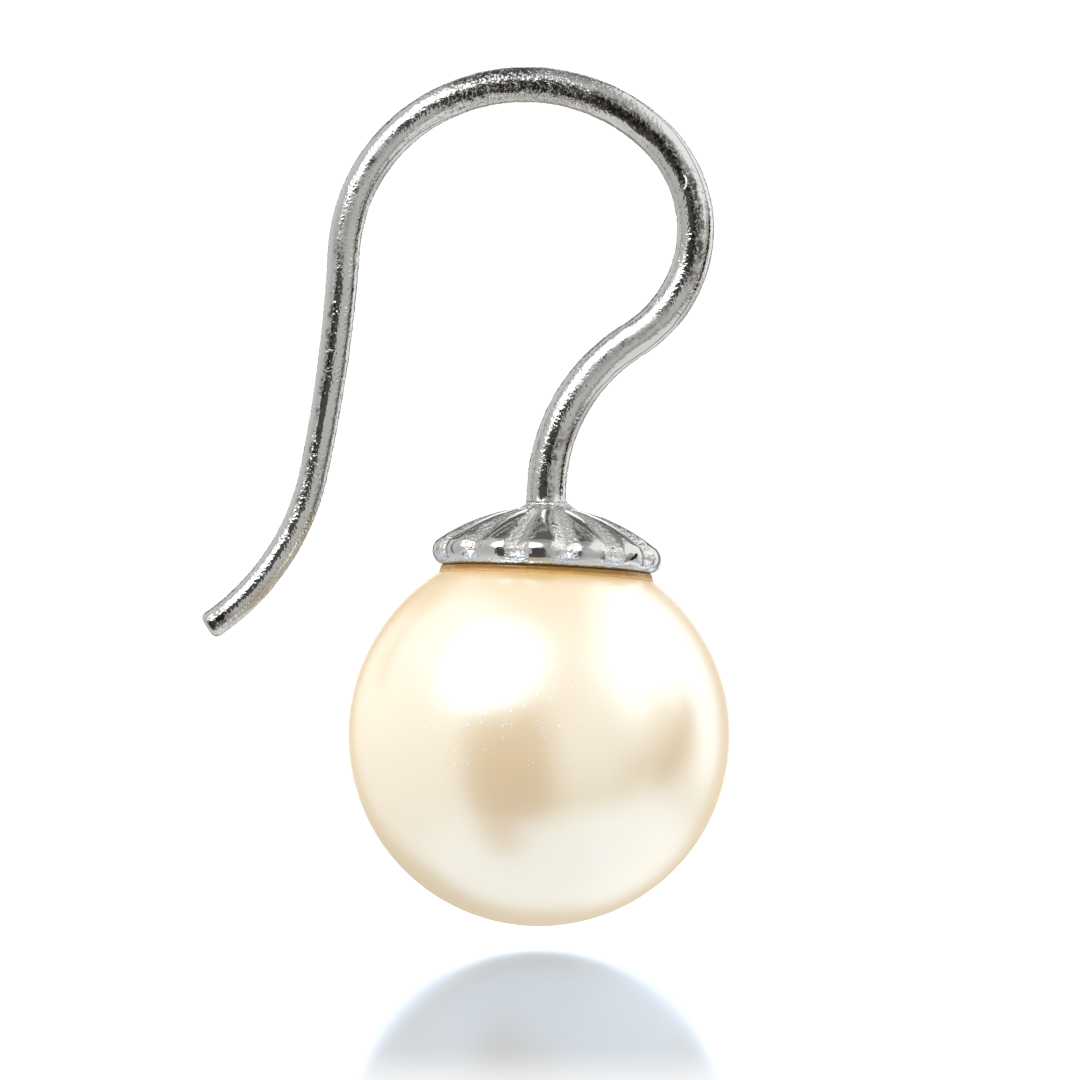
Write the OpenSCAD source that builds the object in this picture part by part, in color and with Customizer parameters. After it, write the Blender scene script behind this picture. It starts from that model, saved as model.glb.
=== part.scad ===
// Pearl drop earring on a fish-hook ear wire, open at the back.
// The ear wire, the fluted cup and the peg are one casting. The pearl is
// drilled half through, pushed over the peg and cemented into the cup.
// The earring hangs: the origin is the underside of the wire at the crown of
// the hook, +Z is up, and the hook lies in the XZ plane with its tail to -X.

/* [Pearl] */
// Diameter of the pearl
pearl_d = 10; // [9:0.5:11]

/* [Cup] */
// Width of the cup over its rim
cup_w = 6.08; // [5.6:0.04:6.4]
// Radius of the cup's dome
dome_r = 4.8; // [4.5:0.05:5.2]
// Thickness of the cup on its axis
cup_wall = 0.785; // [0.6:0.005:1]
// Radius of the rounded rim
rim_r = 0.36; // [0.24:0.02:0.4]
// Number of convex flutes round the cup
flutes = 14; // [8:1:24]
// Depth of the grooves between the flutes at the rim
groove_depth = 0.16; // [0.04:0.01:0.2]
// Turn of the front flute to the left, as a negative number, or to the right
flute_turn = -2.6; // [-12:0.2:12]

/* [Ear wire] */
// Diameter of the wire's flared foot where it runs into the cup
foot_d = 1.6; // [1.2:0.05:1.8]
// Distance of the wire's foot from the cup's axis
foot_offset = 0.07; // [0:0.01:0.15]
// Direction of the wire where it leaves the cup, measured from +X
foot_heading = 92.4; // [85:0.2:95]
// Thickness of the wire, as a factor on the diameters in its route
wire_gauge = 1; // [0.8:0.05:1.1]

/* [Fit] */
// Lean of the cup and pearl from the vertical as the earring hangs
lean = 2.6; // [0:0.1:5]
// Diameter of the peg inside the pearl
peg_d = 0.8; // [0.6:0.05:1]
// Depth of the peg below the top of the pearl
peg_depth = 4; // [2:0.25:6]
// Thickness of the cement between cup and pearl
cement_wall = 0.09; // [0.06:0.01:0.12]
// Height of the cement that shows below the rim
cement_show = 0.13; // [0.05:0.01:0.2]
// Gap between the cement and the pieces on both sides of it
film_gap = 0.03; // [0.02:0.01:0.05]
// Gap between the peg and the wall of its hole
peg_gap = 0.05; // [0.03:0.01:0.1]

/* [Hidden] */

// Route of the ear wire from its foot to its tail, one smooth arc a row.
// A positive turn bends the wire anticlockwise as seen from the front.
LENGTH = 0;    // length of the arc
TURN = 1;      // change of direction along it, in degrees
END_D = 2;     // diameter of the wire at its end
route = [
    [0.30, 0, 1.03],        // flare of the foot
    [0.26, 0, 1.00],        // straight neck
    [4.95, -57.7, 0.96],    // lean to the right
    [6.15, 104.3, 0.95],    // right bend
    [6.20, 72.2, 0.88],     // over the crown
    [4.70, 57.9, 0.83],     // down from the crown
    [5.90, -8.7, 0.74],     // long leg behind the ear
    [4.90, -44.5, 0.72],    // tail turned outwards
    [0.08, 0, 0.64]         // rounded end
];
arcs = len(route);
foot_sunk = 0.235;          // depth of the wire's foot below the dome's top
wire_sides = 16;
ring_step = 0.4;            // longest distance between two rings of the wire
ring_turn = 6;              // largest turn between two rings, in degrees

pearl_r = pearl_d / 2;
seat_r = pearl_r + 2 * film_gap + cement_wall;
cup_top = seat_r + cup_wall;

// The dome is part of a sphere. The rim is a small circle inside its edge,
// and both are measured by their angle from the cup's axis.
dome_z = cup_top - dome_r;
dome_start = 4;
dome_rings = 8;
rim_x = cup_w / 2 - rim_r;
rim_z = dome_z + sqrt(pow(dome_r - rim_r, 2) - pow(rim_x, 2));
rim_start = asin(rim_x / (dome_r - rim_r));
rim_rings = 5;
groove_end = 115;           // angle on the rim at which the grooves run out
flute_steps = 6;            // points across one flute
front = -90;                // direction of the viewer

peg_foot = pearl_r - peg_depth;
peg_top = seat_r + cup_wall / 2;
bore_r = peg_d / 2 + peg_gap;
bore_extra = 0.2;           // depth of the hole past the peg's end
cement_angle = acos((rim_z - rim_r) / seat_r) + cement_show * 180 / (PI * seat_r);
fine = 96;                  // facets of a large round face
small = 48;                 // facets of a small one

// Turn of arc i in degrees a millimetre, and the diameter that it starts from
function bend(i) = route[i][TURN] / route[i][LENGTH];
function start_d(i) = i == 0 ? foot_d : route[i - 1][END_D];

// Place at distance s along an arc that leaves p in direction h and turns by k
function along(p, h, k, s) = k == 0
    ? p + s * [cos(h), sin(h)]
    : p + 180 / (PI * k) * [sin(h + k * s) - sin(h), cos(h) - cos(h + k * s)];

// Direction and place at the start of each arc
arc_headings = [
    for (i = 0, h = foot_heading; i < arcs; h = h + route[i][TURN], i = i + 1) h
];
arc_places = [
    for (i = 0, p = [-foot_offset, cup_top - foot_sunk]; i < arcs;
         p = along(p, arc_headings[i], bend(i), route[i][LENGTH]), i = i + 1) p
];

// A station of the wire, at a part from 0 to 1 of arc i
X = 0;
Z = 1;
HEADING = 2;
DIAMETER = 3;
function station(i, part) = let (
        s = part * route[i][LENGTH],
        p = along(arc_places[i], arc_headings[i], bend(i), s),
        d = start_d(i) + part * (route[i][END_D] - start_d(i))
    ) [p.x, p.y, arc_headings[i] + bend(i) * s, wire_gauge * d];

function steps(i) = ceil(max(route[i][LENGTH] / ring_step, abs(route[i][TURN]) / ring_turn));
stations = [
    for (i = [0 : arcs - 1], j = [0 : steps(i) - 1]) station(i, j / steps(i)),
    station(arcs - 1, 1)
];

// The crown is the station where the leaning wire runs level
level = 180 + lean;
crown_arc = [for (i = [0 : arcs - 2]) if (arc_headings[i + 1] > level) i][0];
crown = station(crown_arc, (level - arc_headings[crown_arc]) / route[crown_arc][TURN]);
hang_x = crown[X] * cos(lean) + crown[Z] * sin(lean);
hang_z = crown[Z] * cos(lean) - crown[X] * sin(lean) - crown[DIAMETER] / 2;

// Closed skin over rings of equal point number
module skin(rings) {
    n = len(rings[0]);
    last = len(rings) - 1;
    sides = [for (i = [0 : last - 1], j = [0 : n - 1])
        [i * n + j, (i + 1) * n + j, (i + 1) * n + (j + 1) % n, i * n + (j + 1) % n]];
    first_cap = [for (j = [0 : n - 1]) j];
    last_cap = [for (j = [n - 1 : -1 : 0]) last * n + j];
    polyhedron([for (ring = rings, p = ring) p], concat([first_cap], sides, [last_cap]));
}

// Ring of the wire at a station, square to its direction
function wire_ring(s) = [
    for (j = [0 : wire_sides - 1]) let (a = 360 * j / wire_sides, r = s[DIAMETER] / 2)
        [s[X] - r * cos(a) * sin(s[HEADING]), -r * sin(a), s[Z] + r * cos(a) * cos(s[HEADING])]
];

module wire() skin([for (s = stations) wire_ring(s)]);

// Row of the cup: the radius and height of its crest, the direction that it
// faces from the axis, and its share of the full groove
RADIUS = 0;
HEIGHT = 1;
FACING = 2;
GROOVE = 3;
function dome_row(part) = let (a = dome_start + part * (rim_start - dome_start))
    [dome_r * sin(a), dome_z + dome_r * cos(a), a, sin(a) / sin(rim_start)];
function rim_row(part) = let (a = rim_start + part * (180 - rim_start))
    [rim_x + rim_r * sin(a), rim_z + rim_r * cos(a), a,
     cos(90 * min(1, (a - rim_start) / (groove_end - rim_start)))];

// Ring of the cup: each flute is a shallow arch between two grooves
function cup_ring(row) = [
    for (j = [0 : flutes * flute_steps - 1]) let (
            across = 2 * (j % flute_steps) / flute_steps - 1,
            sunk = groove_depth * row[GROOVE] * across * across,
            r = row[RADIUS] - sunk * sin(row[FACING]),
            turn = front + flute_turn + 360 / flutes * (j / flute_steps - 0.5)
        ) [r * cos(turn), r * sin(turn), row[HEIGHT] - sunk * cos(row[FACING])]
];

module cup() skin([
    for (i = [rim_rings : -1 : 1]) cup_ring(rim_row(i / rim_rings)),
    for (i = [dome_rings : -1 : 0]) cup_ring(dome_row(i / dome_rings))
]);

// Leans a piece that is drawn round the pearl's centre, and hangs it up
module hung() translate([-hang_x, 0, -hang_z]) rotate([0, lean, 0]) children();

// The cup's underside is cut to the round of the pearl
module ear_hook() color("silver") hung() union() {
    wire();
    difference() {
        cup();
        sphere(r = seat_r, $fn = fine);
    }
    translate([0, 0, peg_foot]) cylinder(h = peg_top - peg_foot, d = peg_d, $fn = small);
}

module pearl() color("cornsilk") hung() difference() {
    sphere(r = pearl_r, $fn = fine);
    translate([0, 0, peg_foot - bore_extra]) cylinder(h = pearl_d, r = bore_r, $fn = small);
}

// A thin shell that ends on a cone just below the rim
module cement() color("goldenrod") hung() difference() {
    intersection() {
        sphere(r = pearl_r + film_gap + cement_wall, $fn = fine);
        cylinder(h = pearl_d, r1 = 0, r2 = pearl_d * tan(cement_angle), $fn = fine);
    }
    sphere(r = pearl_r + film_gap, $fn = fine);
    cylinder(h = pearl_d, r = bore_r, $fn = small);
}

ear_hook();
pearl();
cement();
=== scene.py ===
import math

import bpy
import numpy as np
from mathutils import Matrix, Vector, noise


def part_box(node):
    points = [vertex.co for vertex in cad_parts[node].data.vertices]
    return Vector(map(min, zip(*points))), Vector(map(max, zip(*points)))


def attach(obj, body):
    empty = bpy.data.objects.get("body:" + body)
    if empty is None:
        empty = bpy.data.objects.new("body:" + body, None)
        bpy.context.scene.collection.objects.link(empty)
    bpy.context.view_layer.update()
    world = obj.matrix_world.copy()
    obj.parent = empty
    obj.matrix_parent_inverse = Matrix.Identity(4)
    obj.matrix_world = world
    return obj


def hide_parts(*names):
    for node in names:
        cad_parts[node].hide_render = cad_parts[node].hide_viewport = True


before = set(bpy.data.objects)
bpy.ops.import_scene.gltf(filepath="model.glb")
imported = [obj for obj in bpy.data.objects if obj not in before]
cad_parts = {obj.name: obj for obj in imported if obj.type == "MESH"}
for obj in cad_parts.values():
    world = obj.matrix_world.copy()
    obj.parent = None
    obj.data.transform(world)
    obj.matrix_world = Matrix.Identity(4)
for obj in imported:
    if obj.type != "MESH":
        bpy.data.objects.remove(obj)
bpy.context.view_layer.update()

# Camera: it stands level with the lower half of the pearl, 130 mm in front of
# it, and looks very slightly up so that the whole earring fills the frame.
MM = 0.001
FRAME_WIDTH = 28.35 * MM      # width of the view at the earring
CAMERA_REACH = 130 * MM       # distance from the camera to the earring
AIM = Vector((0.39 * MM, 0, -11.50 * MM))
CAMERA_HEIGHT = -17.6 * MM

camera_data = bpy.data.cameras.new("camera")
camera_data.clip_start = 5 * MM
camera_data.clip_end = 10
camera = bpy.data.objects.new("camera", camera_data)
camera.location = (AIM.x, -CAMERA_REACH, CAMERA_HEIGHT)
sight = AIM - camera.location
camera_data.angle = 2 * math.atan(FRAME_WIDTH / 2 / sight.length)
camera.rotation_mode = "QUATERNION"
camera.rotation_quaternion = sight.to_track_quat("-Z", "Y")
bpy.context.scene.collection.objects.link(camera)
bpy.context.scene.camera = camera
bpy.context.scene.view_settings.view_transform = "Standard"


# Light tent: white cloth all round and above, with one soft box in front at the
# upper left and a wide one at the right. Its front opening is dark, and so are
# the gaps in its roof and the seam at its right: polished silver shows them all.
def linear(code):
    """A colour written as sRGB hex, turned to the linear values of a socket."""
    parts = [int(code[i:i + 2], 16) / 255 for i in (1, 3, 5)]
    flat = [c / 12.92 if c <= 0.04045 else ((c + 0.055) / 1.055) ** 2.4 for c in parts]
    return (*flat, 1.0)


def add(tree, kind, inputs=None, **settings):
    """Adds a node, and fills its inputs, named by identifier, with values or links.

    A sum in an input, such as ("ADD", first, second), is added as a node of its own.
    """
    filled = {}
    for identifier, value in (inputs or {}).items():
        if isinstance(value, tuple) and isinstance(value[0], str):
            operation, first, second = value
            value = add(tree, "ShaderNodeMath", {"Value": first, "Value_001": second},
                        operation=operation).outputs[0]
        filled[identifier] = value
    node = tree.nodes.new(kind)
    for name, value in settings.items():
        setattr(node, name, value)
    by_identifier = {socket.identifier: socket for socket in node.inputs}
    for identifier, value in filled.items():
        if isinstance(value, bpy.types.NodeSocket):
            tree.links.new(value, by_identifier[identifier])
        else:
            by_identifier[identifier].default_value = value
    return node


RESULT_COLOUR = 2             # place of the colour among a Mix node's outputs

world = bpy.data.worlds.new("light_tent")
world.use_nodes = True
bpy.context.scene.world = world
tent = world.node_tree
tent.nodes.clear()
tent_direction = add(tent, "ShaderNodeTexCoord").outputs["Generated"]

# A card is flat and square to its own direction. Azimuth 0 is where the camera
# stands and 90 is to the right of it; sizes are whole angles in degrees.
CARDS = (
    # azimuth, elevation, roll, width, height, soft edge, colour, strength
    (0, -90, 0, 90, 90, 20, "#FFFFFF", 1.34),     # lit table under the tent
    (135, 30, 0, 96, 84, 16, "#FFFFFF", 1.75),    # back wall, brighter at the right
    (-128, 36, 0, 70, 70, 16, "#F4F3F0", 1.28),   # and dimmer at the left
    (152, 6, 0, 30, 70, 8, "#ABA9AE", 1.00),      # folds at its two ends
    (-160, -6, 0, 18, 70, 6, "#665F56", 1.10),
    (0, 90, 0, 44, 44, 12, "#CACACA", 1.10),      # roof
    (-85, 48, 0, 100, 40, 14, "#FFFFFF", 1.18),   # left slope of the roof
    (180, -24, 0, 70, 50, 14, "#B8B0A4", 1.10),   # shaded foot of the back wall
    (180, 43, 0, 66, 18, 8, "#7A7875", 1.10),     # gap between back wall and roof
    (180, 62, 0, 38, 30, 6, "#83807D", 1.10),     # slit in the roof behind it
    (180, 50, 0, 40, 3, 1, "#FFFFFF", 1.10),      # light between the two cloths
    (180, 60, 0, 40, 3, 1, "#FFFFFF", 0.85),
    (180, 3, 0, 28, 14, 4, "#FFFFFF", 2.20),      # lit strip where wall and sheet meet
    (100, -48, 0, 90, 40, 14, "#FFFFFF", 1.50),   # white board at the lower right
    (95, 34, 0, 86, 52, 8, "#FFFFFF", 1.85),      # soft box at the upper right
    (-35, 38, -24, 30, 34, 26, "#FFFFFF", 7.00),  # soft box at the upper left
    (24, 40, -28, 14, 60, 10, "#DEDEDC", 1.10),   # pole between the two boxes
    (90, 0, -34, 40, 20, 12, "#D8D0C3", 1.10),    # folds beside the seam
    (70, -16, 24, 34, 16, 8, "#B8AFA3", 1.10),
    (42, -35, 16, 54, 13, 10, "#D4CDC0", 1.10),   # fold at the foot of the right side
    (94, -4, -32, 12, 42, 3, "#262420", 1.00),    # dark seam at the right
    (-42, -62, 0, 18, 18, 10, "#B4AA9C", 1.00),   # corner of the opening on the table
    (-19.5, -17, 0, 53, 72, 6, "#6A6662", 1.00),  # dark front opening
)


def card_mask(azimuth, elevation, roll, width, height, soft):
    """One where a direction meets the card, zero elsewhere, soft at the edges."""
    a, e = math.radians(azimuth), math.radians(elevation)
    facing = Vector((math.sin(a) * math.cos(e), -math.cos(a) * math.cos(e), math.sin(e)))
    side = Vector((math.cos(a), math.sin(a), 0))
    side.rotate(Matrix.Rotation(math.radians(roll), 3, facing))
    upward = facing.cross(side)
    turned = Matrix((facing, side, upward)).to_euler()
    local = add(tent, "ShaderNodeMapping", {"Vector": tent_direction, "Rotation": turned},
                vector_type="POINT").outputs[0]
    depth = add(tent, "ShaderNodeSeparateXYZ", {"Vector": local}).outputs["X"]
    plane = add(tent, "ShaderNodeVectorMath",
                {"Vector": local, "Scale": ("DIVIDE", 1.0, depth)},
                operation="SCALE").outputs[0]
    away = add(tent, "ShaderNodeVectorMath", {"Vector": plane},
               operation="ABSOLUTE").outputs[0]
    inner = [math.tan(math.radians((size - soft) / 2)) for size in (width, height)]
    outer = [math.tan(math.radians((size + soft) / 2)) for size in (width, height)]
    edges = add(tent, "ShaderNodeMapRange",
                {"Vector": away,
                 "From_Min_FLOAT3": (0, *inner), "From_Max_FLOAT3": (1, *outer),
                 "To_Min_FLOAT3": (1, 1, 1), "To_Max_FLOAT3": (0, 0, 0)},
                data_type="FLOAT_VECTOR", interpolation_type="SMOOTHSTEP").outputs[1]
    parts = add(tent, "ShaderNodeSeparateXYZ", {"Vector": edges}).outputs
    return ("MULTIPLY", ("MULTIPLY", parts["Y"], parts["Z"]), ("GREATER_THAN", depth, 0.0))


def bright(code, strength):
    """A card's colour times its strength."""
    red, green, blue, _ = linear(code)
    return (red * strength, green * strength, blue * strength, 1.0)


tent_light = bright("#F2F2F0", 1.12)
for *place, colour, strength in CARDS:
    tent_light = add(tent, "ShaderNodeMix",
                     {"Factor_Float": card_mask(*place),
                      "A_Color": tent_light, "B_Color": bright(colour, strength)},
                     data_type="RGBA").outputs[RESULT_COLOUR]
tent_shader = add(tent, "ShaderNodeBackground", {"Color": tent_light})
backdrop = add(tent, "ShaderNodeBackground", {"Color": linear("#FFFFFF"), "Strength": 1.1})
seen_directly = add(tent, "ShaderNodeLightPath").outputs["Is Camera Ray"]
tent_mix = add(tent, "ShaderNodeMixShader",
               {"Fac": seen_directly, "Shader": tent_shader.outputs[0],
                "Shader_001": backdrop.outputs[0]})
add(tent, "ShaderNodeOutputWorld", {"Surface": tent_mix.outputs[0]})


# Floor: a sheet of opal acrylic, lit from below, just under the pearl. It is
# glossy beside the pearl and wiped matt towards the front, so the cool mirror
# copy of the pearl fades out as it comes nearer.
FLOOR_DEPTH = -21.94 * MM
FLOOR_SIZE = 4.0
GLOSS_END = -50 * MM          # how far to the front the full gloss reaches
MATT_FROM = -68 * MM          # where the sheet is quite matt


def new_material(name):
    """A material that has no nodes yet, and its tree."""
    material = bpy.data.materials.new(name)
    material.use_nodes = True
    material.node_tree.nodes.clear()
    return material, material.node_tree


acrylic, tree = new_material("opal_acrylic_sheet")
# Cast acrylic has a faint haze under its gloss: long weak clouds in the sheen.
sheet_place = add(tree, "ShaderNodeTexCoord").outputs["Object"]
HAZE_SIZE = 25 * MM
haze = add(tree, "ShaderNodeTexNoise",
           {"Vector": sheet_place, "Scale": 1 / HAZE_SIZE, "Detail": 2.0})
haze_roughness = add(tree, "ShaderNodeMapRange",
                     {"Value": haze.outputs[0], "To Min": 0.06, "To Max": 0.10})
glow = add(tree, "ShaderNodeEmission", {"Color": linear("#FFFFFF"), "Strength": 1.05})
gloss = add(tree, "ShaderNodeBsdfGlossy",
            {"Color": linear("#C8D6EC"), "Roughness": haze_roughness.outputs[0]})
low_angle = add(tree, "ShaderNodeFresnel", {"IOR": 1.5}).outputs[0]
forward = add(tree, "ShaderNodeSeparateXYZ", {"Vector": sheet_place}).outputs["Y"]
wiped = add(tree, "ShaderNodeMapRange",
            {"Value": forward, "From Min": MATT_FROM, "From Max": GLOSS_END},
            interpolation_type="SMOOTHSTEP").outputs[0]
sheet = add(tree, "ShaderNodeMixShader",
            {"Fac": ("MULTIPLY", low_angle, wiped), "Shader": glow.outputs[0],
             "Shader_001": gloss.outputs[0]})
add(tree, "ShaderNodeOutputMaterial", {"Surface": sheet.outputs[0]})

floor_mesh = bpy.data.meshes.new("floor")
half = FLOOR_SIZE / 2
floor_mesh.from_pydata([(-half, -half, FLOOR_DEPTH), (half, -half, FLOOR_DEPTH),
                        (half, half, FLOOR_DEPTH), (-half, half, FLOOR_DEPTH)],
                       [], [(0, 1, 2, 3)])
floor = bpy.data.objects.new("floor", floor_mesh)
floor.data.materials.append(acrylic)
bpy.context.scene.collection.objects.link(floor)
# Only the camera meets the sheet: the earring hangs free in the tent's light.
floor.visible_diffuse = False
floor.visible_glossy = False
floor.visible_shadow = False


# Ear hook: wire, fluted cup and peg cast as one piece of silver, then tumbled
# and polished. The flutes are cast in, and grain from the mould is left between.
low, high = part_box("pearl")
PEARL_R = 5.0                 # all sizes of the pieces are in millimetres
pearl_centre = Vector(((low.x + high.x) / 2, 0, low.z + PEARL_R * MM))
LEAN = math.radians(2.6)      # lean of the drop as it hangs

SEAT_R = 5.15                 # hollow under the cup, about the pearl's centre
DOME_R = 4.8
DOME_Z = 1.185                # centre of the dome above the pearl's
RIM_R = 0.385                 # radius of the rim's round bead
RIM_X = 2.665                 # how far its middle stands from the cup's axis
RIM_Z = 4.705                 # and how far above the pearl's centre
RIM_START = 37.13             # angle at which the rim leaves the dome
RIM_END = 163.0               # angle at which it meets the seat
GROOVE_FULL = 98              # angles on the rim between which the grooves run out
GROOVE_END = 138
FLUTES = 14
FLUTE_TURN = -2.6             # degrees by which the first crest is off the front
GROOVE_DEPTH = 0.18
POINTS_ON_FLUTE = 12
FLUTE_ARCH = 2.4              # 2 is a round arch, and more is flatter on the crest
PEG_R = 0.4
PEG_FOOT = 1.0                # heights of the peg's foot and of its last ring
PEG_TOP = 4.9
DOME_EDGE = 0.80              # radius at which the dome meets the wire's shoulder
DOME_TOP = 5.918              # height at which it does
RIM_WAVE = 0.4                # waviness of the rim, and of the dome; the wire's is 1
DOME_WAVE = 0.6

# The ear wire starts on this foot in the cup and runs over arcs to its tail
FOOT = (-0.07, 5.70)
FOOT_HEADING = 92.4           # degrees, with 90 for straight up
NECK = 0.44                   # length of wire that the shoulder covers
NECK_D = 1.08
ARCS = (
    # length, turn in degrees, diameter at the end
    (0.58, 0, 1.05),          # neck
    (4.94, -58.1, 0.98),      # lean to the right
    (6.20, 104.4, 0.99),      # right bend
    (6.24, 72.3, 0.90),       # over the crown
    (4.73, 58.3, 0.85),       # down from the crown
    (5.90, -8.6, 0.75),       # long leg behind the ear
    (4.97, -44.3, 0.72),      # tail turned outwards
)
RING_STEP = 0.1
TAIL_END = 0.2                # length of the tail that is rounded off


def along(x, z, heading, turn_rate, s):
    """Place at distance s on an arc that leaves (x, z) at a heading in degrees."""
    if turn_rate == 0:
        return (x + s * math.cos(math.radians(heading)),
                z + s * math.sin(math.radians(heading)))
    radius = 180 / (math.pi * turn_rate)
    end = math.radians(heading + turn_rate * s)
    start = math.radians(heading)
    return (x + radius * (math.sin(end) - math.sin(start)),
            z + radius * (math.cos(start) - math.cos(end)))


RING_VALUES = ("radius", "heading", "groove", "facing", "wave", "mark")


def ring(x, z, radius, heading=90.0, groove=0.0, facing=90.0, wave=0.0, mark=0.0):
    """One ring of a skin: its centre, then what RING_VALUES names.

    That is its size, the way it runs, how deep the grooves are in it, the way that
    its surface faces, its waviness, and a mark that the materials read.
    """
    return (x, z, radius, heading, groove, facing, wave, mark)


# One skin runs over rings of points: up the peg, out under the cup, round its rim, in
# over the dome, and along the wire to its tail
hook_rings = [ring(0, PEG_FOOT, r) for r in (0.0, 0.2, 0.34)]
hook_rings += [ring(0, PEG_FOOT + up, r) for up, r in ((0.02, 0.38), (0.06, PEG_R))]
hook_rings += [ring(0, z, PEG_R) for z in np.linspace(PEG_FOOT + 0.5, PEG_TOP, 8)]
for r in np.linspace(PEG_R, RIM_X + 0.09, 14):
    hook_rings.append(ring(0, math.sqrt(SEAT_R ** 2 - r ** 2), r))
for angle in np.linspace(RIM_END, RIM_START, 44):
    a = math.radians(angle)
    fade = min(1.0, max(0.0, (GROOVE_END - angle) / (GROOVE_END - GROOVE_FULL)))
    share = fade * fade * (3 - 2 * fade)
    hook_rings.append(ring(0, RIM_Z + RIM_R * math.cos(a), RIM_X + RIM_R * math.sin(a),
                           groove=share, facing=angle, wave=RIM_WAVE, mark=share))
dome_end = math.degrees(math.asin(DOME_EDGE / DOME_R))
for angle in np.linspace(RIM_START, dome_end, 28)[1:]:
    a = math.radians(angle)
    share = math.sin(a) / math.sin(math.radians(RIM_START))
    hook_rings.append(ring(0, DOME_Z + DOME_R * math.cos(a), DOME_R * math.sin(a),
                           groove=share, facing=angle, wave=DOME_WAVE, mark=share))

# Lumpy shoulder left by the casting where the wire stands on the dome: heights and radii
neck_x, neck_z = along(*FOOT, FOOT_HEADING, 0, NECK)
SHOULDER = ((5.935, 0.750), (5.955, 0.715), (5.980, 0.680), (6.000, 0.640),
            (6.020, 0.606), (6.045, 0.580), (6.075, 0.560), (6.110, 0.550))
for z, r in SHOULDER:
    up = (z - DOME_TOP) / (neck_z - DOME_TOP)
    hook_rings.append(ring(up * neck_x, z, r, 90 + up * (FOOT_HEADING - 90),
                           groove=0.25 * (1 - up), facing=20, wave=2.0 * (1 - up) + 1.0))

# The wire's own rings begin where the shoulder ends, and stop short of the tail's end
x, z = FOOT
heading, diameter = FOOT_HEADING, NECK_D
last = len(ARCS) - 1
for number, (length, turn, end_d) in enumerate(ARCS):
    steps = math.ceil(length / RING_STEP)
    for step in range(steps):
        s = length * step / steps
        if number == 0 and s < NECK or number == last and s > length - TAIL_END:
            continue
        px, pz = along(x, z, heading, turn / length, s)
        d = diameter + (end_d - diameter) * step / steps
        hook_rings.append(ring(px, pz, d / 2, heading + turn * step / steps, wave=1.0))
    x, z = along(x, z, heading, turn / length, length)
    heading += turn
    diameter = end_d

# The tail was cut square and its edge rounded off by the tumbling: places past its
# end on the wire's axis, and radii
TAIL_ROUND = ((-0.16, 0.362), (-0.10, 0.363), (-0.05, 0.356), (0.00, 0.336), (0.035, 0.310),
              (0.060, 0.278), (0.076, 0.235), (0.083, 0.170), (0.085, 0.085), (0.085, 0.0))
for s, r in TAIL_ROUND:
    px, pz = along(x, z, heading, 0, s)
    hook_rings.append(ring(px, pz, r, heading))


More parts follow.
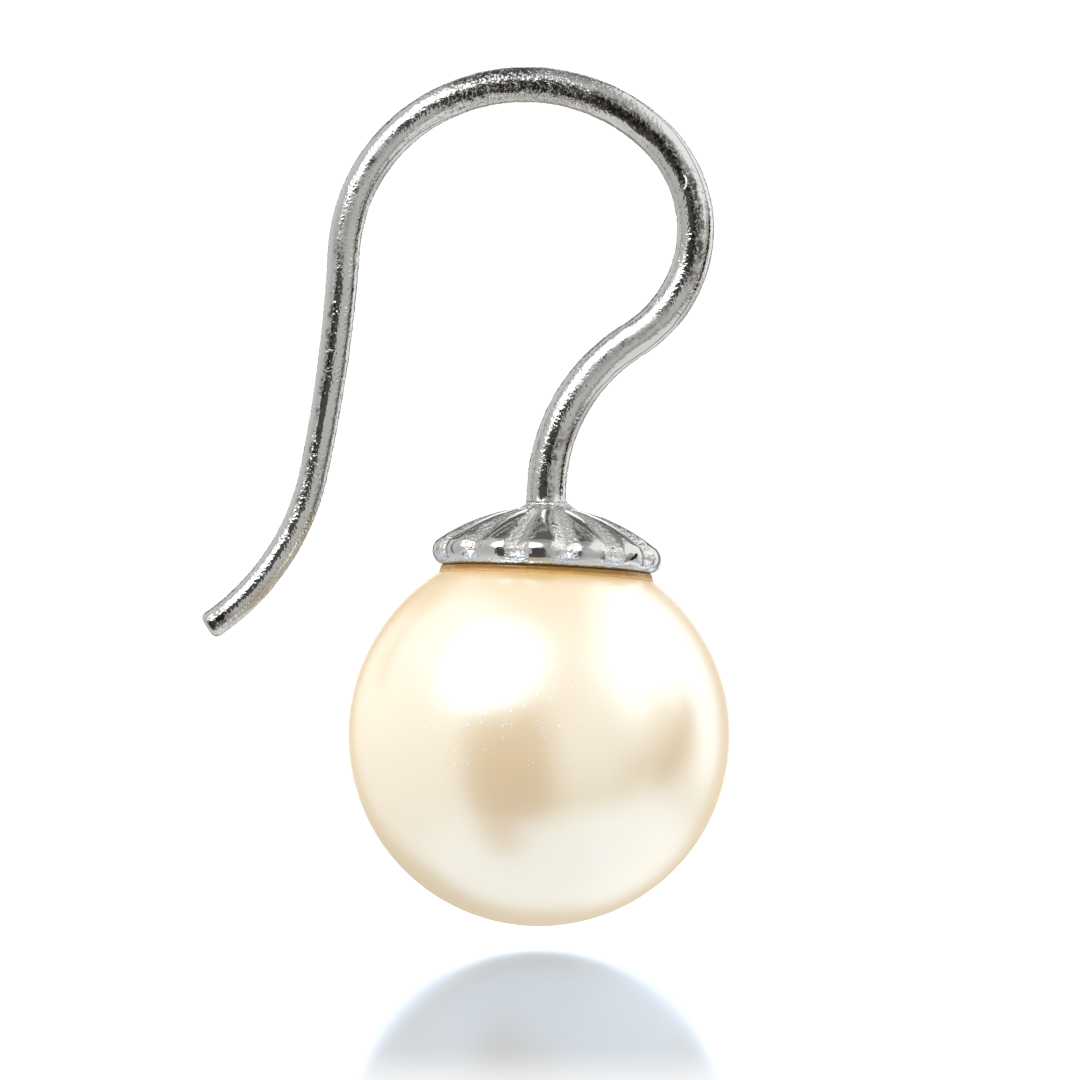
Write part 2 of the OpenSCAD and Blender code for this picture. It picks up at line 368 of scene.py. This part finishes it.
def skin_tree():
    """Tree that stretches a closed skin over rings: a mesh of points with sizes."""
    tree = bpy.data.node_groups.new("skin_over_rings", "GeometryNodeTree")
    face = tree.interface
    face.new_socket("Rings", in_out="INPUT", socket_type="NodeSocketGeometry")
    for name, kind in (("Points around", "NodeSocketInt"), ("Flutes", "NodeSocketInt"),
                       ("Flute turn", "NodeSocketFloat"), ("Groove depth", "NodeSocketFloat"),
                       ("Wave length", "NodeSocketFloat"), ("Wave height", "NodeSocketFloat"),
                       ("Dent length", "NodeSocketFloat"), ("Dent depth", "NodeSocketFloat"),
                       ("Lump size", "NodeSocketFloat"), ("Lump height", "NodeSocketFloat"),
                       ("Burr place", "NodeSocketVector"), ("Burr height", "NodeSocketFloat"),
                       ("Seed", "NodeSocketFloat"), ("Lean", "NodeSocketFloat"),
                       ("Hang", "NodeSocketVector"), ("Finish", "NodeSocketMaterial")):
        face.new_socket(name, in_out="INPUT", socket_type=kind)
    face.new_socket("Piece", in_out="OUTPUT", socket_type="NodeSocketGeometry")
    given = tree.nodes.new("NodeGroupInput").outputs

    # A grid with a row for each ring; its last column lies on its first
    count = add(tree, "GeometryNodeAttributeDomainSize", {"Geometry": given["Rings"]},
                component="MESH").outputs["Point Count"]
    columns = ("ADD", given["Points around"], 1.0)
    grid = add(tree, "GeometryNodeMeshGrid",
               {"Size X": 1.0, "Size Y": 1.0, "Vertices X": count, "Vertices Y": columns})
    index = add(tree, "GeometryNodeInputIndex").outputs[0]
    row = add(tree, "ShaderNodeMath", {"Value": ("DIVIDE", ("ADD", index, 0.5), columns)},
              operation="FLOOR").outputs[0]
    of_ring = {}
    for name in ("centre", *RING_VALUES):
        kind = "FLOAT_VECTOR" if name == "centre" else "FLOAT"
        value = add(tree, "GeometryNodeInputNamedAttribute", {"Name": name}, data_type=kind)
        of_ring[name] = add(tree, "GeometryNodeSampleIndex",
                            {"Geometry": given["Rings"], "Value": value.outputs[0],
                             "Index": row}, data_type=kind).outputs[0]

    # Points lie closer together towards the grooves, so that these stay crisp
    spoke = ("SUBTRACT", index, ("MULTIPLY", row, columns))
    on_flute = ("DIVIDE", given["Points around"], given["Flutes"])
    place_in_flutes = add(tree, "ShaderNodeMath", {"Value": spoke, "Value_001": on_flute},
                          operation="DIVIDE").outputs[0]
    flute = add(tree, "ShaderNodeMath", {"Value": ("ADD", place_in_flutes, 0.01)},
                operation="FLOOR").outputs[0]
    swing = ("MULTIPLY", ("SUBTRACT", ("SUBTRACT", place_in_flutes, flute), 0.5), math.pi)
    across = add(tree, "ShaderNodeMath", {"Value": swing}, operation="SINE").outputs[0]
    turn = ("MULTIPLY", ("DIVIDE", ("ADD", flute, ("MULTIPLY", across, 0.5)),
                         given["Flutes"]), 2 * math.pi)
    start = ("SUBTRACT", ("RADIANS", given["Flute turn"], 0.0), math.pi / 2)

    # Each flute is an arch, broad on its crest and steep beside the grooves
    arch = ("POWER", ("ABSOLUTE", across, 0.0), FLUTE_ARCH)
    groove = add(tree, "ShaderNodeMath", {"Value": of_ring["groove"], "Value_001": arch},
                 operation="MULTIPLY").outputs[0]
    sunk = add(tree, "ShaderNodeMath", {"Value": groove, "Value_001": given["Groove depth"]},
               operation="MULTIPLY").outputs[0]
    facing = ("RADIANS", of_ring["facing"], 0.0)
    outward = ("SUBTRACT", of_ring["radius"], ("MULTIPLY", sunk, ("SINE", facing, 0.0)))
    drop = ("MULTIPLY", ("MULTIPLY", sunk, ("COSINE", facing, 0.0)), -1.0)
    spoke_end = add(tree, "ShaderNodeCombineXYZ", {"X": outward, "Z": drop}).outputs[0]
    about_ring = add(tree, "ShaderNodeVectorRotate",
                     {"Vector": spoke_end, "Angle": ("ADD", turn, start)},
                     rotation_type="Z_AXIS").outputs[0]
    tilt = ("RADIANS", ("SUBTRACT", 90.0, of_ring["heading"]), 0.0)
    tilted = add(tree, "ShaderNodeVectorRotate", {"Vector": about_ring, "Angle": tilt},
                 rotation_type="Y_AXIS").outputs[0]
    place = add(tree, "ShaderNodeVectorMath",
                {"Vector": of_ring["centre"], "Vector_001": tilted},
                operation="ADD").outputs[0]
    marked = add(tree, "GeometryNodeSetPosition",
                 {"Geometry": grid.outputs["Mesh"], "Position": place})
    for name, value in (("groove", groove), ("wave", of_ring["wave"]),
                        ("mark", of_ring["mark"])):
        marked = add(tree, "GeometryNodeStoreNamedAttribute",
                     {"Geometry": marked.outputs[0], "Name": name, "Value": value},
                     data_type="FLOAT", domain="POINT")
    closed = add(tree, "GeometryNodeMergeByDistance",
                 {"Geometry": marked.outputs[0], "Distance": 0.001})

    # Low waves over the whole casting and small dents here and there
    here = add(tree, "GeometryNodeInputPosition").outputs[0]
    waves, dents, lumps = (
        add(tree, "ShaderNodeTexNoise",
            {"Vector": here, "W": given["Seed"], "Detail": detail,
             "Scale": ("DIVIDE", 1.0, given[size])}, noise_dimensions="4D").outputs[0]
        for size, detail in (("Wave length", 1.0), ("Dent length", 0.0), ("Lump size", 1.0)))
    far_from_even = ("ABSOLUTE", ("SUBTRACT", dents, 0.5), 0.0)
    dented = ("MAXIMUM", ("SUBTRACT", far_from_even, 0.12), 0.0)
    rise = ("SUBTRACT", ("MULTIPLY", ("SUBTRACT", waves, 0.5), given["Wave height"]),
            ("MULTIPLY", dented, given["Dent depth"]))
    strength = add(tree, "GeometryNodeInputNamedAttribute", {"Name": "wave"},
                   data_type="FLOAT").outputs[0]
    # Where the waves are strongest the casting is lumpy too, and one burr is left on it
    lumpy = ("MULTIPLY", ("MULTIPLY", ("SUBTRACT", lumps, 0.5), given["Lump height"]),
             ("MAXIMUM", ("SUBTRACT", strength, 1.0), 0.0))
    to_burr = add(tree, "ShaderNodeVectorMath",
                  {"Vector": here, "Vector_001": given["Burr place"]},
                  operation="DISTANCE").outputs["Value"]
    burr = add(tree, "ShaderNodeMapRange",
               {"Value": to_burr, "From Min": 0.03, "From Max": 0.14,
                "To Min": given["Burr height"], "To Max": 0.0},
               interpolation_type="SMOOTHSTEP").outputs[0]
    normal = add(tree, "GeometryNodeInputNormal").outputs[0]
    total = ("ADD", ("ADD", ("MULTIPLY", rise, strength), lumpy), burr)
    push = add(tree, "ShaderNodeVectorMath", {"Vector": normal, "Scale": total},
               operation="SCALE").outputs[0]
    uneven = add(tree, "GeometryNodeSetPosition",
                 {"Geometry": closed.outputs[0], "Offset": push})

    turned = add(tree, "ShaderNodeCombineXYZ", {"Y": given["Lean"]}).outputs[0]
    hung = add(tree, "GeometryNodeTransform",
               {"Geometry": uneven.outputs[0], "Translation": given["Hang"],
                "Rotation": turned, "Scale": (MM, MM, MM)})
    smooth = add(tree, "GeometryNodeSetShadeSmooth",
                 {"Geometry": hung.outputs[0], "Shade Smooth": True})
    real = add(tree, "GeometryNodeRealizeInstances", {"Geometry": smooth.outputs[0]})
    dressed = add(tree, "GeometryNodeSetMaterial",
                  {"Geometry": real.outputs[0], "Material": given["Finish"]})
    result = tree.nodes.new("NodeGroupOutput")
    tree.links.new(dressed.outputs[0], result.inputs[0])
    return tree


skin = skin_tree()


def skinned(name, rings, values):
    """A piece whose skin runs over the rings, as a plain mesh hung in its place."""
    mesh = bpy.data.meshes.new(name)
    mesh.from_pydata([(0, 0, 0)] * len(rings), [], [])
    columns = list(zip(*rings))
    centre = mesh.attributes.new("centre", "FLOAT_VECTOR", "POINT")
    centre.data.foreach_set("vector", [c for x, z in zip(*columns[:2]) for c in (x, 0, z)])
    for key, column in zip(RING_VALUES, columns[2:]):
        mesh.attributes.new(key, "FLOAT", "POINT").data.foreach_set("value", column)
    piece = bpy.data.objects.new(name, mesh)
    bpy.context.scene.collection.objects.link(piece)
    shape = piece.modifiers.new("skin", "NODES")
    shape.node_group = skin
    values = {**values, "Lean": LEAN, "Hang": pearl_centre}
    for socket in skin.interface.items_tree:
        if socket.in_out == "INPUT" and socket.name in values:
            shape[socket.identifier] = values[socket.name]
    settled = piece.evaluated_get(bpy.context.evaluated_depsgraph_get())
    finished = bpy.data.meshes.new_from_object(settled)
    piece.modifiers.clear()
    piece.data = finished
    bpy.data.meshes.remove(mesh)
    finished.name = name
    return piece


def place_in_mm(tree):
    """The place on a piece in millimetres, so that each pattern has its real size."""
    in_metres = add(tree, "ShaderNodeTexCoord").outputs["Object"]
    return add(tree, "ShaderNodeVectorMath", {"Vector": in_metres, "Scale": 1 / MM},
               operation="SCALE").outputs[0]


# Polished cast silver: a near mirror with the fine grain of the mould in it,
# which breaks up the edges of what it reflects. The tumbling reached the crests
# and left the flanks of the flutes matt and grainy, so they scatter the light.
silver, tree = new_material("polished_cast_silver")
in_mm = place_in_mm(tree)
groove_mark = add(tree, "ShaderNodeAttribute", attribute_name="groove").outputs["Fac"]
cup_mark = add(tree, "ShaderNodeAttribute", attribute_name="mark").outputs["Fac"]
waviness = add(tree, "ShaderNodeAttribute", attribute_name="wave").outputs["Fac"]
flank = ("DIVIDE", groove_mark, ("MAXIMUM", cup_mark, 0.2))
collar = ("MAXIMUM", ("SUBTRACT", waviness, 1.3), 0.0)
GRAIN = 0.085                 # size of the mould's grain, mm
grain = add(tree, "ShaderNodeTexNoise",
            {"Vector": in_mm, "Scale": 1 / GRAIN, "Detail": 1.0, "Roughness": 0.6})
# The grain lies in patches about 1.1 mm wide: the polishing wheel took it off between
# them. Blotches of 0.3 mm break up the edges of what is matt, dark or satin.
patches = add(tree, "ShaderNodeTexNoise", {"Vector": in_mm, "Scale": 0.9, "Detail": 2.0})
blotches = add(tree, "ShaderNodeTexNoise", {"Vector": in_mm, "Scale": 3.5, "Detail": 3.0})
# There is most grain on the crown, where the feed of the casting was cut off
FEED_PLACE = (-0.4, 0.0, 0.5)
to_feed = add(tree, "ShaderNodeVectorMath", {"Vector": in_mm, "Vector_001": FEED_PLACE},
              operation="DISTANCE").outputs["Value"]
feed = add(tree, "ShaderNodeMapRange",
           {"Value": to_feed, "From Min": 0.8, "From Max": 2.2, "To Min": 0.5, "To Max": 0.0},
           interpolation_type="SMOOTHSTEP").outputs[0]
left_over = add(tree, "ShaderNodeMapRange",
                {"Value": ("ADD", patches.outputs[0], feed),
                 "From Min": 0.35, "From Max": 0.95, "To Min": 0.4, "To Max": 2.2}).outputs[0]
uneven_edge = ("MULTIPLY", ("SUBTRACT", blotches.outputs[0], 0.5), 0.6)
matt = add(tree, "ShaderNodeMapRange",
           {"Value": ("ADD", ("ADD", flank, collar), uneven_edge),
            "From Min": 0.08, "From Max": 0.48}, interpolation_type="SMOOTHSTEP").outputs[0]
PIT_SPACING = 0.13            # distance between casting pits, mm
pits = add(tree, "ShaderNodeTexVoronoi", {"Vector": in_mm, "Scale": 1 / PIT_SPACING})
pit_depth = add(tree, "ShaderNodeMapRange",
                {"Value": pits.outputs["Distance"], "From Min": 0.08, "From Max": 0.34,
                 "To Min": 0.0, "To Max": 1.0}, interpolation_type="SMOOTHSTEP")
on_crest = ("MAXIMUM", ("SUBTRACT", 1.0, ("MULTIPLY", cup_mark, 2.0)), 0.15)
roughly = ("ADD", ("MULTIPLY", left_over, on_crest), ("MULTIPLY", matt, 2.2))
grain_height = ("MULTIPLY", grain.outputs[0], roughly)
grain_bump = add(tree, "ShaderNodeBump",
                 {"Height": grain_height, "Strength": 1.0, "Distance": 0.016 * MM})
pit_bump = add(tree, "ShaderNodeBump",
               {"Height": ("MULTIPLY", pit_depth.outputs[0], roughly),
                "Strength": 0.7, "Distance": 0.008 * MM, "Normal": grain_bump.outputs[0]})

# Speckled dark strips are painted along the front of the crown, the right bend, the foot of
# the stem, the leg and the tail's tip: painted reflections of the tent's dark parts, where the
# wire faces them.
DARK_REFLECTION_STRIPS = (
    # middle and reach of the place, mm; way that the strip faces and its narrowness
    ((-0.3, 0.0, 0.4), 2.4, (0.0, -0.98, -0.18), 0.93),
    ((3.2, 0.0, -0.7), 2.4, (-0.06, -0.99, -0.08), 0.95),
    ((-0.8, 0.0, 0.6), 1.5, (0.0, -0.74, 0.67), 0.90),
    ((4.5, 0.0, -3.3), 2.0, (0.12, -0.99, 0.0), 0.96),
    ((0.35, 0.0, -10.2), 2.0, (0.12, -0.99, 0.0), 0.985),
    ((-5.1, 0.0, -7.4), 4.6, (-0.38, -0.925, 0.0), 1.0),
    ((-8.2, 0.0, -13.5), 0.7, (0.0, -1.0, 0.0), 0.85),
)
# Elsewhere the wheel's paste has left the front satin, and it mirrors no dark: on the
# middle of the stem, the left bend and the right of the rim.
SATIN = (
    # the same columns
    ((2.4, 0.0, -6.5), 2.3, (0.0, -1.0, 0.0), 0.97),
    ((-4.4, 0.0, -2.4), 2.5, (0.0, -1.0, 0.0), 0.97),
    ((1.3, -2.9, -11.4), 1.3, (0.40, -0.90, -0.15), 0.93),
)
FADE = 0.6                    # share of its reach at which a strip starts to fade
faced_way = add(tree, "ShaderNodeTexCoord").outputs["Normal"]
ragged = ("MULTIPLY", ("SUBTRACT", blotches.outputs[0], 0.5), 0.25)


def on_strips(strips):
    """One on strips of the silver that lie near a place and face a way, else zero."""
    mark = 0.0
    for middle, reach, way, narrow in strips:
        away = add(tree, "ShaderNodeVectorMath", {"Vector": in_mm, "Vector_001": middle},
                   operation="DISTANCE").outputs["Value"]
        near = add(tree, "ShaderNodeMapRange",
                   {"Value": away, "From Min": reach * FADE, "From Max": reach,
                    "To Min": 1.0, "To Max": 0.0},
                   interpolation_type="SMOOTHSTEP").outputs[0]
        faced = add(tree, "ShaderNodeVectorMath", {"Vector": faced_way, "Vector_001": way},
                    operation="DOT_PRODUCT").outputs["Value"]
        strip = add(tree, "ShaderNodeMapRange",
                    {"Value": ("ADD", faced, ragged), "From Min": narrow - 0.05,
                     "From Max": narrow + 0.03}, interpolation_type="SMOOTHSTEP").outputs[0]
        mark = ("MAXIMUM", mark, ("MULTIPLY", near, strip))
    return mark


crumbs = add(tree, "ShaderNodeMapRange",
             {"Value": grain.outputs[0], "From Min": 0.47, "From Max": 0.62,
              "To Min": 1.0, "To Max": 0.1}).outputs[0]
# Painted dark reflection: the strips above, speckled by the grain
painted_dark_reflection = ("MULTIPLY", on_strips(DARK_REFLECTION_STRIPS), crumbs)
satin = on_strips(SATIN)

# A thin wavering dark line is painted down the wire: a painted reflection of the tent's dark
# seam at the right. It lies where the wire faces square to the given way.
SEAM_REFLECTION_WAY = (0.714, 0.70, 0.0)
LINE_WAVER = 0.15             # as shares of the wire's radius
LINE_HALF_W = 0.045
LINE_SHADE = 0.7              # share of its own grey
CUP_TOP = -10.7               # height below which the painted line stops, mm
side = add(tree, "ShaderNodeVectorMath", {"Vector": faced_way, "Vector_001": SEAM_REFLECTION_WAY},
           operation="DOT_PRODUCT").outputs["Value"]
waver = ("MULTIPLY", ("SUBTRACT", patches.outputs[0], 0.5), LINE_WAVER)
on_line = add(tree, "ShaderNodeMath",
              {"Value": ("ADD", side, waver), "Value_001": 0.0, "Value_002": LINE_HALF_W},
              operation="COMPARE").outputs[0]
height = add(tree, "ShaderNodeSeparateXYZ", {"Vector": in_mm}).outputs["Z"]
above_cup = ("GREATER_THAN", height, CUP_TOP)
# Painted reflection of the seam, only above the cup
painted_seam_reflection = ("MULTIPLY", ("MULTIPLY", on_line, above_cup), LINE_SHADE)

# The underside of the rim, beside the cement, is painted lighter and blue-grey: a painted
# reflection of the lit table below
on_rim = add(tree, "ShaderNodeMath",
             {"Value": waviness, "Value_001": RIM_WAVE, "Value_002": 0.05},
             operation="COMPARE").outputs[0]
painted_lip_reflection = ("MULTIPLY", on_rim, ("SUBTRACT", 1.0, cup_mark))

# One bright hooked scratch crosses the painted dark reflection on the right bend. Seen from
# the front it is a short arc of a circle, and only the part near its middle is there.
SCRATCH_CENTRE = (3.937, 0.0, -2.115)
SCRATCH_R = 0.295
SCRATCH_MIDDLE = (4.22, 0.0, -2.12)
SCRATCH_REACH = 0.19
SCRATCH_HALF_W = 0.024
front_view = add(tree, "ShaderNodeVectorMath",
                 {"Vector": in_mm, "Vector_001": (1.0, 0.0, 1.0)},
                 operation="MULTIPLY").outputs[0]
from_centre, from_middle = (
    add(tree, "ShaderNodeVectorMath", {"Vector": front_view, "Vector_001": place},
        operation="DISTANCE").outputs["Value"] for place in (SCRATCH_CENTRE, SCRATCH_MIDDLE))
on_hook = add(tree, "ShaderNodeMath",
              {"Value": from_centre, "Value_001": SCRATCH_R, "Value_002": SCRATCH_HALF_W},
              operation="COMPARE").outputs[0]
scratch = ("MULTIPLY", on_hook, ("LESS_THAN", from_middle, SCRATCH_REACH))

# Over the metal's own grey go the matt flanks, the painted dark reflections, the painted
# reflection of the seam, the painted reflection under the rim and the scratch
metal = linear("#ADADAC")
for share, colour in ((matt, "#C4C3C1"), (painted_dark_reflection, "#4E4C49"), (painted_seam_reflection, "#5A5856"),
                      (painted_lip_reflection, "#C4CEDB"), (scratch, "#F4F3F0")):
    metal = add(tree, "ShaderNodeMix",
                {"Factor_Float": share, "A_Color": metal, "B_Color": linear(colour)},
                data_type="RGBA").outputs[RESULT_COLOUR]
polish = ("ADD", ("MULTIPLY", left_over, 0.02), ("ADD", ("MULTIPLY", matt, 0.32), 0.04))
surface = add(tree, "ShaderNodeBsdfPrincipled",
              {"Base Color": metal, "Metallic": 1.0,
               "Roughness": ("MAXIMUM", ("MAXIMUM", polish, ("MULTIPLY", scratch, 0.7)),
                             ("MULTIPLY", satin, 0.42)),
               "Normal": pit_bump.outputs[0]})
add(tree, "ShaderNodeOutputMaterial", {"Surface": surface.outputs[0]})

hook = skinned("cast_ear_hook", hook_rings, {
    "Points around": FLUTES * POINTS_ON_FLUTE, "Flutes": FLUTES,
    "Flute turn": FLUTE_TURN, "Groove depth": GROOVE_DEPTH,
    "Wave length": 1.1, "Wave height": 0.012, "Dent length": 0.45, "Dent depth": 0.05,
    "Lump size": 0.2, "Lump height": 0.07, "Burr place": (2.72, -1.15, 4.40),
    "Burr height": 0.06, "Seed": 3.0, "Finish": silver})
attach(hook, "root")
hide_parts("ear_hook")


# Pearl: a ball of lead-free crystal under a thick lacquer of pearl pigment,
# drilled half through from the top for the peg and cemented into the cup.
BORE_R = 0.45
BORE_END = 0.8                # heights of its bottom and of its last ring
BORE_TOP = 4.9
LIP = 0.03                    # width of its worn edge
STAIN_START = 33.5            # angles from the cup's axis between which the film of
STAIN_END = 42.5              # resin that was wiped off round the cup thins out
pearl_rings = [ring(0, BORE_END, r) for r in (0.0, 0.2, 0.4, BORE_R)]
pearl_rings += [ring(0, z, BORE_R) for z in np.linspace(BORE_END + 0.4, BORE_TOP, 6)]
lip_angle = math.degrees(math.asin((BORE_R + LIP) / PEARL_R))
for angle in np.linspace(lip_angle, 180, 110):
    a = math.radians(angle)
    near_cup = min(1.0, max(0.0, (STAIN_END - angle) / (STAIN_END - STAIN_START)))
    pearl_rings.append(ring(0, PEARL_R * math.cos(a), PEARL_R * math.sin(a), mark=near_cup))

# Pearl lacquer: mica flakes lie flat in a cream coat under a clear one. The
# flakes blur and whiten what they mirror, and the cream shows where it is dark.
# A wiped film of the amber resin tints the top of the ball. The cream has faint
# clouds 2.2 mm wide, and the film smears of half a millimetre.
lacquer, tree = new_material("pearl_lacquer_on_crystal")
in_mm = place_in_mm(tree)
clouds = add(tree, "ShaderNodeTexNoise", {"Vector": in_mm, "Scale": 0.45, "Detail": 3.0})
cream = add(tree, "ShaderNodeMix",
            {"Factor_Float": clouds.outputs[0], "A_Color": linear("#FFE0B0"),
             "B_Color": linear("#FCDAA8")}, data_type="RGBA").outputs[RESULT_COLOUR]
near_cup = add(tree, "ShaderNodeAttribute", attribute_name="mark").outputs["Fac"]
smears = add(tree, "ShaderNodeTexNoise", {"Vector": in_mm, "Scale": 1.8, "Detail": 4.0})
film = add(tree, "ShaderNodeMapRange",
           {"Value": ("MULTIPLY", near_cup, ("ADD", smears.outputs[0], 0.55)),
            "From Min": 0.15, "From Max": 0.95}, interpolation_type="SMOOTHSTEP").outputs[0]
stained = add(tree, "ShaderNodeMix",
              {"Factor_Float": film, "A_Color": cream, "B_Color": linear("#F8CA80")},
              data_type="RGBA").outputs[RESULT_COLOUR]
# Specks of white dust from the cloth that it was handled with lie on the front
DUST_PLACE = (-0.6, -4.8, -15.9)
DUST_SPACING = 0.11           # distance between places where a speck can lie, mm
DUST_SIZE = 0.6               # size of the specks, as a share of that distance
to_dust = add(tree, "ShaderNodeVectorMath", {"Vector": in_mm, "Vector_001": DUST_PLACE},
              operation="DISTANCE").outputs["Value"]
dusty = add(tree, "ShaderNodeMapRange",
            {"Value": to_dust, "From Min": 0.5, "From Max": 4.4, "To Min": 0.3, "To Max": 1.0})
cells = add(tree, "ShaderNodeTexVoronoi", {"Vector": in_mm, "Scale": 1 / DUST_SPACING})
chance = add(tree, "ShaderNodeSeparateXYZ", {"Vector": cells.outputs["Color"]}).outputs["X"]
speck_size = ("MULTIPLY", ("SUBTRACT", chance, dusty.outputs[0]), DUST_SIZE)
speck = ("GREATER_THAN", speck_size, cells.outputs["Distance"])
dusted = add(tree, "ShaderNodeMix",
             {"Factor_Float": speck, "A_Color": stained, "B_Color": linear("#FFFFFF")},
             data_type="RGBA").outputs[RESULT_COLOUR]
# The flakes are drawn coarser than the real ones, of about 0.02 mm, so that they show
FLAKE = 0.035
flakes = add(tree, "ShaderNodeTexNoise",
             {"Vector": in_mm, "Scale": 1 / FLAKE, "Detail": 2.0})
skin_bump = add(tree, "ShaderNodeBump",
                {"Height": flakes.outputs[0], "Strength": 0.3, "Distance": 0.003 * MM})
flake_gloss = add(tree, "ShaderNodeMapRange",
                  {"Value": flakes.outputs[0], "To Min": 0.27, "To Max": 0.35})
# They are coated with titania, whose high index makes them bright; it tints them too
TITANIA_INDEX = 2.7
surface = add(tree, "ShaderNodeBsdfPrincipled",
              {"Base Color": dusted, "Roughness": flake_gloss.outputs[0],
               "IOR": TITANIA_INDEX,
               "Specular IOR Level": 1.0, "Specular Tint": linear("#D0EEFF"),
               "Normal": skin_bump.outputs[0], "Coat Weight": 0.1, "Coat Roughness": 0.12})
add(tree, "ShaderNodeOutputMaterial", {"Surface": surface.outputs[0]})

pearl = skinned("crystal_pearl", pearl_rings, {
    "Points around": 160, "Flutes": 1, "Flute turn": 0.0, "Groove depth": 0.0,
    "Wave length": 1.0, "Wave height": 0.0, "Dent length": 1.0, "Dent depth": 0.0,
    "Lump size": 1.0, "Lump height": 0.0, "Burr height": 0.0, "Seed": 0.0,
    "Finish": lacquer})
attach(pearl, "root")
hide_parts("pearl")


# Cement: amber two-part resin squeezed out of the cup's edge as the pearl was
# pressed home. It has set as a narrow wavering fillet between rim and pearl, with
# paler blots of half a millimetre and ripples of 0.15 mm in its soft gloss.
resin, tree = new_material("amber_resin")
in_mm = place_in_mm(tree)
blots = add(tree, "ShaderNodeTexNoise", {"Vector": in_mm, "Scale": 2.2, "Detail": 3.0})
thin = add(tree, "ShaderNodeAttribute", attribute_name="thin").outputs["Fac"]
# Darker amber under the rim, where the fillet is thick, paling towards its thin edge: the dark
# part also stands in for painted shade in the crevice under the rim
paler = add(tree, "ShaderNodeMapRange",
            {"Value": ("ADD", thin, ("MULTIPLY", blots.outputs[0], 0.5)),
             "From Min": 0.45, "From Max": 1.2}, interpolation_type="SMOOTHSTEP").outputs[0]
amber = add(tree, "ShaderNodeMix",
            {"Factor_Float": paler, "A_Color": linear("#966C2A"),
             "B_Color": linear("#DCAE62")}, data_type="RGBA").outputs[RESULT_COLOUR]
ripple = add(tree, "ShaderNodeTexNoise", {"Vector": in_mm, "Scale": 7.0, "Detail": 2.0})
ripple_bump = add(tree, "ShaderNodeBump",
                  {"Height": ripple.outputs[0], "Strength": 0.8, "Distance": 0.03 * MM})
dull = add(tree, "ShaderNodeMapRange",
           {"Value": thin, "To Min": 0.22, "To Max": 0.6}).outputs[0]
surface = add(tree, "ShaderNodeBsdfPrincipled",
              {"Base Color": amber, "Roughness": dull, "Coat Weight": 0.1,
               "Normal": ripple_bump.outputs[0]})
add(tree, "ShaderNodeOutputMaterial", {"Surface": surface.outputs[0]})

CEMENT_AROUND = 240
CEMENT_TOP = 31.0             # angles from the cup's axis, degrees: top of the fillet,
CEMENT_FACE = 33.0            # where it leaves the rim,
CEMENT_EDGE = 34.1            # and where it thins out on the pearl
LINE_R = SEAT_R - 0.02        # its outer face, just clear of the cup
BED_R = PEARL_R + 0.012       # the fillet stands just clear of the lacquer
SWELL = 0.11                  # most that it may stand out from there, mm
cement_rows = []
for step in range(CEMENT_AROUND):
    turn = 2 * math.pi * step / CEMENT_AROUND
    at = Vector((3 * math.cos(turn), 3 * math.sin(turn), 0.0))
    wander = noise.noise(at * 1.3) * 0.7 + noise.noise(at * 3.7 + Vector((5, 1, 2))) * 0.6
    thick = 1 + 0.5 * noise.noise(at * 2.4 + Vector((9, 4, 7)))
    edge = CEMENT_EDGE + wander
    profile = [(CEMENT_TOP, BED_R), (CEMENT_TOP, LINE_R), (CEMENT_FACE, LINE_R - 0.005)]
    for part in (0.2, 0.4, 0.6, 0.8, 0.95):
        swell = (LINE_R - 0.02 - PEARL_R) * (1 - part) ** 1.5 * thick
        profile.append((CEMENT_FACE + part * (edge - CEMENT_FACE), BED_R + min(swell, SWELL)))
    profile.append((edge, PEARL_R + 0.006))
    cement_rows.append([
        (r * math.sin(math.radians(a)) * math.cos(turn),
         r * math.sin(math.radians(a)) * math.sin(turn), r * math.cos(math.radians(a)))
        for a, r in profile])

places = [place for row in cement_rows for place in row]
deep = len(cement_rows[0])
faces = []
for row in range(CEMENT_AROUND):
    here, beyond = row * deep, (row + 1) % CEMENT_AROUND * deep
    for first in range(deep):
        second = (first + 1) % deep
        faces.append((here + first, here + second, beyond + second, beyond + first))
cement_mesh = bpy.data.meshes.new("resin_fillet")
cement_mesh.from_pydata(places, [], faces)
cement_mesh.attributes.new("thin", "FLOAT", "POINT").data.foreach_set(
    "value", [max(0.0, (part - 2) / (deep - 3)) for _ in range(CEMENT_AROUND)
              for part in range(deep)])
cement_mesh.transform(Matrix.Translation(pearl_centre) @ Matrix.Rotation(LEAN, 4, "Y")
                      @ Matrix.Scale(MM, 4))
cement_mesh.shade_smooth()
cement_mesh.materials.append(resin)
cement = bpy.data.objects.new("resin_fillet", cement_mesh)
bpy.context.scene.collection.objects.link(cement)
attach(cement, "root")
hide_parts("cement")
